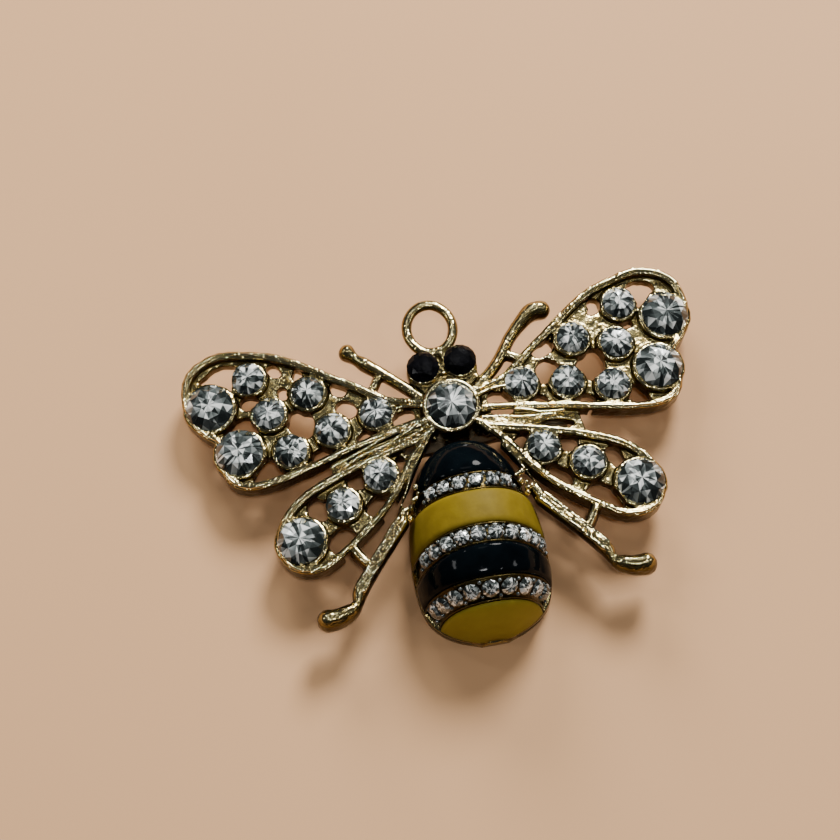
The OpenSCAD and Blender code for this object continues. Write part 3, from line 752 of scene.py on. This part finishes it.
for side in (1, -1):
    lay_limb([(side * x * LEG_REACH, -y, thick) for x, y, thick in LEG], REAR)
lay_limb([(-x, y * ANTENNA_REACH, thick) for x, y, thick in ANTENNA_LEFT], FRONT)
lay_limb([(x, y * ANTENNA_REACH, thick) for x, y, thick in ANTENNA_RIGHT], FRONT)
ring = [Vector((LOOP_ASIDE + LOOP_ACROSS * math.sin(turn), LOOP_AHEAD + LOOP_ALONG * math.cos(turn),
                LIMB_Z)) for turn in [math.radians(degrees) for degrees in range(0, 360, 9)]]
lay_bar(ring, [LOOP_RADIUS] * len(ring), closed=True, place=FRONT)
for side in (1, -1):
    stem = [(LOOP_ASIDE + side * 1.5, LOOP_AHEAD - 1.8, LIMB_Z),
            (LOOP_ASIDE + side * 0.75, LOOP_AHEAD - 2.9, LIMB_Z),
            (side * 0.15, EYE_AHEAD - 0.6, LIMB_Z)]
    stem = smooth_path(stem, 5)
    lay_bar(stem, [STEM_RADIUS] * len(stem), place=FRONT)
print("Casting with its limbs:", len(cast.faces), "faces")

# %% [markdown]
# Each stone sits in a cup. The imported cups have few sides, so a ring round each girdle, turned
# from a small rectangle as on a lathe, makes them round. The thorax stone has a raised bezel.

# %% Cups of the stones
BEZEL_LAP = 0.02
BEZEL_WALL = 0.36
CUP_WALL = 0.06


def turn_ring(place, inner, outer, low, high):
    """A ring about the z axis of place."""
    ring = bmesh.new()
    corners = [(inner, low), (outer, low), (outer, high), (inner, high)]
    verts = [ring.verts.new((x, 0, z)) for x, z in corners]
    edges = [ring.edges.new((verts[i - 1], verts[i])) for i in range(4)]
    bmesh.ops.spin(ring, geom=verts + edges, cent=(0, 0, 0), axis=(0, 0, 1), angle=math.tau,
                   steps=32, use_merge=True)
    bmesh.ops.transform(ring, matrix=place, verts=ring.verts)
    cast.from_mesh(mesh_of(ring))


for node, (seat, width) in seats.items():
    if node == "thorax_stone":
        turn_ring(seat, width / 2 - BEZEL_LAP, width / 2 + BEZEL_WALL, -1.4, 0.02)
    elif not node.startswith("eye"):
        turn_ring(seat, width / 2 - 0.2, width / 2 + CUP_WALL, -1.3, -0.2)
print("Casting with its cups:", len(cast.faces), "faces")

# %% [markdown]
# Voxels melt the bars, cups and floors together. A few passes of smoothing round the edges, and
# a soft cloud pushes the skin out by up to a few hundredths of a millimetre. A point that lies
# below a much smoother copy of the mesh is in a hollow. Steep walls count as hollows too, and
# both are marked for painted shade.

# %% Melt, smooth and mark the hollows for painted shade
VOXEL = 0.12
CRUMB = 5000
MELTED_FACES = 86000


def point_values(mesh, kind):
    values = np.empty(len(mesh.vertices) * 3, np.float32)
    mesh.vertices.foreach_get(kind, values)
    return values.reshape(-1, 3)


def mark_hollow_shade(mesh, passes, reach, steep=0):
    """Stores how deep each point lies in a hollow, for the painted shade: 0.5 is level, and 1 is deep
    or steep.
    """
    soft = worked(mesh.copy(), ("SMOOTH", {"factor": 0.5, "iterations": passes}))
    facing = point_values(soft, "normal")
    depth = ((point_values(soft, "co") - point_values(mesh, "co")) * facing).sum(1) / reach
    depth += steep * (1 - np.abs(facing[:, 2]))
    store = mesh.attributes.new("hollow_shade", "FLOAT", "POINT")
    store.data.foreach_set("value", np.clip(0.5 + depth * 0.5, 0, 1).astype(np.float32))
    bpy.data.meshes.remove(soft)


def without_crumbs(mesh, least):
    """Drops the loose bits of fewer points than that, which the cutting left behind."""
    shape = bmesh.new()
    shape.from_mesh(mesh)
    unseen = set(shape.verts)
    crumbs = []
    sizes = []
    while unseen:
        bit = [unseen.pop()]
        for vert in bit:
            near = [edge.other_vert(vert) for edge in vert.link_edges]
            fresh = [other for other in near if other in unseen]
            unseen.difference_update(fresh)
            bit += fresh
        sizes.append(len(bit))
        if len(bit) < least:
            crumbs += bit
    bmesh.ops.delete(shape, geom=crumbs, context="VERTS")
    print("Loose bits by points:", sorted(sizes))
    return mesh_of(shape)


clouds = bpy.data.textures.new("casting_lumps", "CLOUDS")
clouds.noise_scale = 0.9
clouds.noise_depth = 2
melted = worked(
    mesh_of(cast),
    ("REMESH", {"mode": "VOXEL", "voxel_size": VOXEL}),
    ("SMOOTH", {"factor": 0.5, "iterations": 4}),
    ("DISPLACE", {"texture": clouds, "strength": 0.08, "mid_level": 0.1}))
print("Melted casting:", len(melted.polygons), "faces")
mark_hollow_shade(melted, 14, 0.12, 0.8)
keep = min(1.0, MELTED_FACES / len(melted.polygons))
melted = without_crumbs(worked(melted, ("DECIMATE", {"ratio": keep})), CRUMB)

# %% [markdown]
# The finest lines of the casting are laid on after the melting, as voxels would blur them: a
# wire along each rim, pairs of ridges down the legs, and the strands that run from the thorax
# between the wings. Each wavers a little in thickness, as wax wire does under the fingers.

# %% Fine wires and ridges
WIRE_INSET = 0.3
WIRE_RISE = 0.04
WIRE_RADIUS = 0.15
STRAND_RADIUS = 0.14
RIDGE_ASIDE = 0.36
RIDGE_RISE = 0.86
RIDGE_RADIUS = 0.2
cast = bmesh.new()
cast.from_mesh(melted)


def lay_wire(path, radius, closed=False, place=Matrix.Identity(4)):
    """A fine bar whose thickness wavers along its way."""
    radii = [radius * (1 + 0.16 * math.sin(1.3 * i) + 0.1 * math.sin(0.47 * i + 1))
             for i in range(len(path))]
    lay_bar(path, radii, closed=closed, place=place)


# The strands of each side, as paths on the slope of its wing
TO_LEADING_EDGE = [(2.3, 0.5), (4.2, 1), (6, 1.1), (7.2, 1.8)]
STRANDS = {
    1: [[(5.8, -1.45), (7, -1.75), (8.2, -2.2), (10.2, -2.4)],
        [(2.5, -1.7), (4.4, -1.95), (6.4, -2.35), (8, -2.5), (9.4, -2.6)],
        TO_LEADING_EDGE],
    -1: [[(2.3, -0.5), (4.2, -1.2), (6.4, -1.45), (9, -2.3), (12.2, -3.2)],
         [(2.5, -1), (4.6, -1.45), (6.8, -2.3), (9, -2.7), (11.6, -3.7)],
         [(2.6, -1.35), (4.6, -2.1), (6.6, -2.4), (8.6, -3.3), (10.2, -3.9)],
         TO_LEADING_EDGE]}
for edge, place in wing_edges():
    lay_wire(beside(edge, WIRE_INSET, WIRE_RISE, True), WIRE_RADIUS, closed=True, place=place)
for side in (1, -1):
    for strand in STRANDS[side]:
        wire = smooth_path([(x, y, 0) for x, y in strand], 5)
        lay_wire(wire, STRAND_RADIUS, place=wing_frame(FRONT, side))
    leg = smooth_path([(side * x * LEG_REACH, -y, 0) for x, y, _ in LEG[:RIDGED_JOINTS]], 6)
    leg = [Vector((spot.x, spot.y, limb_height(spot.x))) for spot in leg]
    for shift in (-RIDGE_ASIDE, RIDGE_ASIDE):
        lay_wire(beside(leg, shift, RIDGE_RISE), RIDGE_RADIUS, place=REAR)

# %% Nuggets where the legs spring from the abdomen
random.seed(4)
NUGGETS = [
    (5.2, -8.4, 5.5), (5.6, -9.2, 5.2), (6.1, -9.9, 4.9), (4.8, -7.7, 5.7)]
for side in (1, -1):
    for x, y, z in NUGGETS:
        for k in range(3):
            spot = Vector((side * (x + random.uniform(-0.4, 0.4)), y + random.uniform(-0.4, 0.4),
                           z + random.uniform(-0.25, 0.15)))
            grain = REAR @ Matrix.Translation(spot)
            size = random.uniform(0.18, 0.36)
            bmesh.ops.create_icosphere(cast, subdivisions=2, radius=size, matrix=grain)
print("Casting with its fine lines:", len(cast.faces), "faces")
finished(mesh_of(cast, "melted"), "wings_and_head", [CAST_GOLD], "casting")

# %% [markdown]
# ## The abdomen's metal
# The abdomen is a hollow egg, open at the back. A grid is bent over its form, a little under the
# enamel, and Solidify gives it its wall. Thin rails run across it on both sides of each row of
# stones, and a plain foot runs round its back edge.

# %% Rows and edges across the abdomen
# Each row of stones: its part of the length, its bow, its number of stones, how many stones
# aside its middle is, its pitch against the others', and the width of its stones
ROWS = [(0.283, 0.01, 6, -0.1, 1, 1.42), (0.576, 0.045, 10, 0.4, 1, 1.5),
        (0.847, 0, 9, 0, 1.1, 1.66)]
ROW_STONE = 1.35
ROW_PITCH = 1.6
GROOVE_HALF = ROW_STONE / 2 + 0.1
EDGING = 0.18
RAIL_RADIUS = 0.08
RAIL_SINK = 0.12
FOOT = 1.1
FOOT_WALL = 0.9
SHELL_SINK = 0.5
SHELL_WALL = 1.0


def foot_angle(part):
    """The angle at which the skin comes down to the foot."""
    high = BODY_HEIGHT * np.interp(part, parts, heights)
    return math.acos(min(FOOT / high, 1) ** (1 / FULLNESS))


def edge_part(row, shift, x):
    """The part of the abdomen's length where a line of a row passes at x, shifted along."""
    return row[0] + row[1] * (x / HALF_BODY) ** 2 + shift / BODY_LENGTH


def across_body(part_of, t, lift):
    """A point on a line across the abdomen, from its left foot at t = 0 to its right at t = 1."""
    x = 0
    for _ in range(5):
        part = part_of(x)
        spot = REAR.inverted() @ skin_point(part, (2 * t - 1) * foot_angle(part), lift)
        x = spot.x
    return REAR @ spot


# %% Hollow shell, rails and foot
def shell_spot(s, t):
    return skin_point(s * TAIL_END[0], (2 * t - 1) * math.pi / 2, -SHELL_SINK)


cast = bmesh.new()
cast.from_mesh(thickened(bent_sheet(90, 64, shell_spot), SHELL_WALL))
for row in ROWS:
    for side in (-1, 1):
        shift = side * (GROOVE_HALF + EDGING / 2)
        rail = [across_body(lambda x: edge_part(row, shift, x), k / 60, -RAIL_SINK)
                for k in range(61)]
        lay_bar(rail, [RAIL_RADIUS] * len(rail))
print("Abdomen's metal:", len(cast.faces), "faces")


def foot_band(side):
    """The strip of bare skin between the enamel and the back, for one side."""
    def spot(s, t):
        part = s * TAIL_END[0]
        low = math.pi / 2
        return skin_point(part, side * (low + (foot_angle(part) - low) * t), 0)
    return spot


for side in (-1, 1):
    strip = bent_sheet(90, 6, foot_band(side))
    middle = REAR @ Vector((0, -BODY_FRONT - BODY_LENGTH / 2, 1))
    face = strip.polygons[len(strip.polygons) // 2]
    if (face.center - middle).dot(face.normal) < 0:
        strip.flip_normals()
    cast.from_mesh(thickened(strip, FOOT_WALL))

# A short plug of the tail's last section closes the foot between its two strips
plug = bmesh.new()
section = [skin_point(TAIL_END[0], (k / 12 - 1) * math.pi / 2, 0) for k in range(25)]
block(plug, section, (0, FOOT_WALL, 0))
bmesh.ops.recalc_face_normals(plug, faces=plug.faces)
cast.from_mesh(block_mesh(plug))
abdomen_mesh = mesh_of(cast, "abdomen")
# Painted shade: the abdomen's metal gets only the darker half of the shade values, as if all of it lay
# in shade.
mark_hollow_shade(abdomen_mesh, 10, 0.15)
for point in abdomen_mesh.attributes["hollow_shade"].data:
    point.value = 0.5 + point.value / 2
finished(abdomen_mesh, "abdomen_metal", [CAST_GOLD], "casting")

# %% [markdown]
# ## Enamel bands
# A band is a grid between two rails. Its middle crowns over the metal and its edges dip to the
# rails, as poured enamel does, and Solidify makes it a solid of its own.

# %% Bands between the rows
BAND_EDGE = GROOVE_HALF + EDGING + 0.03
BAND_SINK = 0.13
BAND_CROWN = 0.23
BAND_WALL = 0.35
FRONT_END = -0.002


def pour_band(i, finish, name, node):
    """The band between row i - 1 and row i, or an end of the abdomen where there is no row."""
    def part_of(s, x):
        front = FRONT_END if i == 0 else edge_part(ROWS[i - 1], BAND_EDGE, x)
        back = TAIL_END[0] if i == len(ROWS) else edge_part(ROWS[i], -BAND_EDGE, x)
        return front + s * (back - front)

    def spot(s, t):
        rise = min(1 - abs(2 * s - 1) ** 8, 1 - abs(2 * t - 1) ** 30)
        return across_body(lambda x: part_of(s, x), t, BAND_CROWN * rise - BAND_SINK)

    band = bent_sheet(40, 96, spot)
    tops = [face for face in band.polygons if abs(face.normal.z) > 0.8]
    if tops and tops[0].normal.z < 0:
        band.flip_normals()
    finished(thickened(band, BAND_WALL), name, [finish], node)


for i, word in enumerate(("black_front", "yellow_middle", "black_middle", "yellow_tail")):
    if word.startswith("black"):
        pour_band(i, BLACK_ENAMEL, word + "_band", "enamel_" + word)
    else:
        pour_band(i, YELLOW_ENAMEL, word + "_band", "enamel_" + word)

# %% [markdown]
# ## Cut stones
# A round stone has a low table, star and kite facets on its crown, and a blunt pavilion below.
# Rings of points hold the corners of the facets, and a convex hull finds the facets between
# them, so nothing is listed by hand.

# %% Cut one stone
random.seed(11)
CROWN = 0.17
TABLE = 0.62
PAVILION = 0.2
STONE_TILT = 2.5
ROW_TILT = 4
PAINTED_GLINT_TONES = (0, 0.1, 0.2, 0.25, 0.4, 0.6)
# Each ring of corners: its part of the radius, its height as part of the width, and how far it
# is turned, in steps of its own corners. The girdle has two rings with twice the corners.
RINGS = [(0.3, CROWN + 0.012, 0.5, 1), (TABLE, CROWN, 0, 1), (0.83, 0.093, 0.5, 1), (1, 0, 0, 2),
         (1, -0.03, 0, 2), (0.6, -0.125, 0, 1), (0.07, -PAVILION, 0.5, 1)]


def by_place(spot):
    """A key that sorts pieces of a mesh by place, so each run draws the same random values."""
    return tuple(round(value, 3) for value in spot)


def face_place(face):
    return by_place(face.calc_center_median())


def cut_stone(shape, width, place, corners=8):
    """Adds a brilliant cut stone to shape, with a painted glint value at each corner of a facet."""
    layers = shape.loops.layers
    glint_tones = layers.float.get("facet") or layers.float.new("facet")
    spokes = layers.float_vector.get("spoke") or layers.float_vector.new("spoke")
    seed = random.uniform(1, 60)
    half = width / 2
    verts = [shape.verts.new((0, 0, (CROWN + 0.02) * width))]
    for part, height, turn, times in RINGS:
        count = corners * times
        spin = Matrix.Rotation(math.tau * turn / count, 4, "Z")
        lift = Matrix.Translation((0, 0, height * width))
        made = bmesh.ops.create_circle(shape, segments=count, radius=half * part, matrix=lift @ spin)
        verts += made["verts"]
    hull = bmesh.ops.convex_hull(shape, input=verts)
    faces = [g for g in hull["geom"] if isinstance(g, bmesh.types.BMFace)]
    faces.sort(key=face_place)
    edges = list(dict.fromkeys(edge for face in faces for edge in face.edges))
    bmesh.ops.dissolve_limit(shape, angle_limit=0.005, verts=verts, edges=edges)
    facets = {face for vert in verts if vert.is_valid for face in vert.link_faces}
    for face in sorted(facets, key=face_place):
        # Painted glints and shade: each facet gets a random brightness, darker towards the girdle.
        reach = face.calc_center_median().xy.length / half
        tone = random.choice(PAINTED_GLINT_TONES) + 0.2 - 0.34 * reach
        for corner in sorted(face.loops, key=lambda corner: by_place(corner.vert.co)):
            corner[glint_tones] = tone + random.uniform(-0.2, 0.2)
            corner[spokes] = (corner.vert.co.x / half, corner.vert.co.y / half, seed)
    bmesh.ops.transform(shape, matrix=place, verts=[v for v in verts if v.is_valid])


def hand_set(limit):
    """A small random tilt and any turn, as a hand set stone has."""
    tilt = Matrix.Rotation(math.radians(random.uniform(-limit, limit)), 4, "X")
    lean = Matrix.Rotation(math.radians(random.uniform(-limit, limit)), 4, "Y")
    return tilt @ lean @ Matrix.Rotation(random.uniform(0, math.tau), 4, "Z")


# %% Set the stones of the wings, thorax and head
for node, (seat, width) in seats.items():
    shape = bmesh.new()
    cut_stone(shape, width, seat @ hand_set(STONE_TILT))
    black = node.startswith("eye")
    name = node + "_cut" if black else node.replace("stone", "cut_stone")
    finishes = [BLACK_GLASS] if black else [GLINT_GLASS]
    finished(mesh_of(shape, name), name, finishes, node, smooth=False)

# %% [markdown]
# ## Rows of small stones
# The stones of a row sit in a groove between two rails, held by grains of metal pushed up
# against them. Stones and grains are one piece here, as each is fast in the row.

# %% Rows with their grains
def skin_speed(part, angle):
    """How many millimetres the skin runs across the abdomen for a radian at this angle."""
    step = math.radians(1)
    return (skin_point(part, angle + step, 0) - skin_point(part, angle - step, 0)).length / 2 / step


def row_angle(part, steps, pitch):
    """The angle that lies a number of steps from the top, measured along the skin."""
    angle = math.radians(0.01)
    while steps > 0:
        stride = min(steps, 1) * pitch
        half = angle + stride / 2 / skin_speed(part, angle)
        angle += stride / skin_speed(part, half)
        steps -= 1
    return angle


def row_frame(row, steps, shift=0, lift=0):
    """A place in a row, with z out of the skin and y along the abdomen."""
    sign = 1 if steps >= 0 else -1
    angle = sign * row_angle(row[0], abs(steps), ROW_PITCH * row[4])
    here = REAR.inverted() @ skin_point(row[0], angle, 0)
    spot_part = edge_part(row, shift, here.x)
    here = skin_point(spot_part, angle, 0)
    side = skin_point(spot_part, angle + 0.02, 0) - skin_point(spot_part, angle - 0.02, 0)
    ahead = skin_point(spot_part - 0.02, angle, 0) - skin_point(spot_part + 0.02, angle, 0)
    out = side.cross(ahead).normalized()
    ahead = out.cross(side).normalized()
    turn = Matrix((side.normalized(), ahead, out)).transposed().to_4x4()
    return Matrix.Translation(here + out * lift) @ turn


def set_row(row, name, node):
    shape = bmesh.new()
    _, _, count, aside, _, width = row
    first = -(count - 1) / 2 + aside
    for k in range(count):
        cut_stone(shape, width, row_frame(row, first + k) @ hand_set(ROW_TILT), corners=6)
    for k in range(count + 1):
        for side in (-1, 1):
            shift = side * random.uniform(0.5, 0.6)
            grain = row_frame(row, first + k - 0.5, shift=shift, lift=0.02)
            size = random.uniform(0.15, 0.24)
            ball = bmesh.ops.create_icosphere(shape, subdivisions=2, radius=size, matrix=grain)
            for face in {face for vert in ball["verts"] for face in vert.link_faces}:
                face.material_index = 1
                face.smooth = True
    finishes = [GLINT_GLASS, BRIGHT_GRAIN]
    finished(mesh_of(shape, name), name, finishes, node, smooth=False)
    print(name, "has", count, "stones")


for row, word in zip(ROWS, ("front", "middle", "tail")):
    set_row(row, word + "_row", "stone_row_" + word)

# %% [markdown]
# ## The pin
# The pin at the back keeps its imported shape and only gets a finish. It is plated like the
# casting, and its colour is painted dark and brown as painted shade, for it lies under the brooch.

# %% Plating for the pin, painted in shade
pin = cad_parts["brooch_pin"]
pin.data.materials.clear()
# Painted shade: the pin's colour is darkened to the shade under the brooch.
pin.data.materials.append(plain_finish(
    "plated_pin_painted_shade", (0.6, 0.02, 0.15, 0.008), [(0.3, (0.27, 0.22, 0.15)), (0.7, (0.38, 0.31, 0.21))],
    [(0.3, 0.28), (0.7, 0.4)], Metallic=1.0))
print("Pin dressed")

# %% [markdown]
# ## Floor, lights and camera
# The brooch lies on a plain pale table. A soft window light stands to the upper right, as the
# shadows to the lower left show, and a pale wall fills from the far side. The small panels are
# there for their reflections, which make the cast metal sparkle.

# %% Floor
def pale_table():
    finish, tree, shader = new_finish("pale_table", Roughness=0.75)
    place = new_node(tree, "TexCoord")
    cloud = new_node(tree, "TexNoise", {"Scale": 12})
    join(tree, place, "Object", cloud, "Vector")
    ramp(tree, cloud, "Fac", shader, "Base Color", (0.3, (0.56, 0.31, 0.145)),
         (0.7, (0.585, 0.33, 0.157)))
    return finish


ground = bmesh.new()
bmesh.ops.create_grid(ground, x_segments=1, y_segments=1, size=2)
ground_mesh = bpy.data.meshes.new("table")
ground.to_mesh(ground_mesh)
ground.free()
ground_mesh.materials.append(pale_table())
in_scene("table", ground_mesh)
print("Table made")

# %% Lights
def soft_light(name, watts, size, place, aim=(0, 0, 0), colour=(1, 1, 1)):
    light = bpy.data.lights.new(name, "AREA")
    light.shape = "DISK"
    light.size = size
    light.energy = watts
    light.color = colour
    lamp = in_scene(name, light)
    lamp.location = place
    lamp.rotation_euler = (Vector(place) - Vector(aim)).to_track_quat("Z", "Y").to_euler()
    return lamp


soft_light("window", 4.5, 0.18, (0.2, 0.34, 0.32), colour=(1.0, 0.98, 0.95))
soft_light("front_lamp", 0.5, 0.05, (-0.01, -0.14, 0.48))
wall = soft_light("back_wall", 5.0, 0.3, (-0.06, 0.58, 0.24), aim=(0, 0, 0.02))
wall.visible_glossy = False
soft_light("top_panel", 0.08, 0.12, (0.03, 0.2, 0.46))
soft_light("left_panel", 0.25, 0.08, (-0.4, 0.05, 0.3))
soft_light("right_panel", 0.25, 0.08, (0.42, -0.08, 0.3))
soft_light("left_spark", 0.14, 0.02, (-0.2, 0.26, 0.4))
soft_light("right_spark", 0.14, 0.02, (0.2, -0.22, 0.42))
world = bpy.data.worlds.new("dim_room")
world.use_nodes = True
world.node_tree.nodes["Background"].inputs["Color"].default_value = (0.04, 0.042, 0.045, 1)
bpy.context.scene.world = world
print("Lights set")

# %% [markdown]
# The camera stands above the tail. A small shift puts the thorax stone at its own pixel.

# %% Camera
view = bpy.data.cameras.new("view")
view.sensor_width = 36
view.lens = PICTURE_SCALE * CAMERA_AWAY * view.sensor_width / PICTURE_SIDE
view.clip_start = 0.01
view.shift_x = (PICTURE_SIDE / 2 - THORAX_PIXEL[0]) / PICTURE_SIDE
view.shift_y = (THORAX_PIXEL[1] - PICTURE_SIDE / 2) / PICTURE_SIDE
camera = in_scene("view", view)
turn = Matrix((RIGHT, UP, TOWARDS)).transposed().to_4x4()
camera.matrix_world = Matrix.Translation((AIM + TOWARDS * CAMERA_AWAY) * MM) @ turn
bpy.context.scene.camera = camera
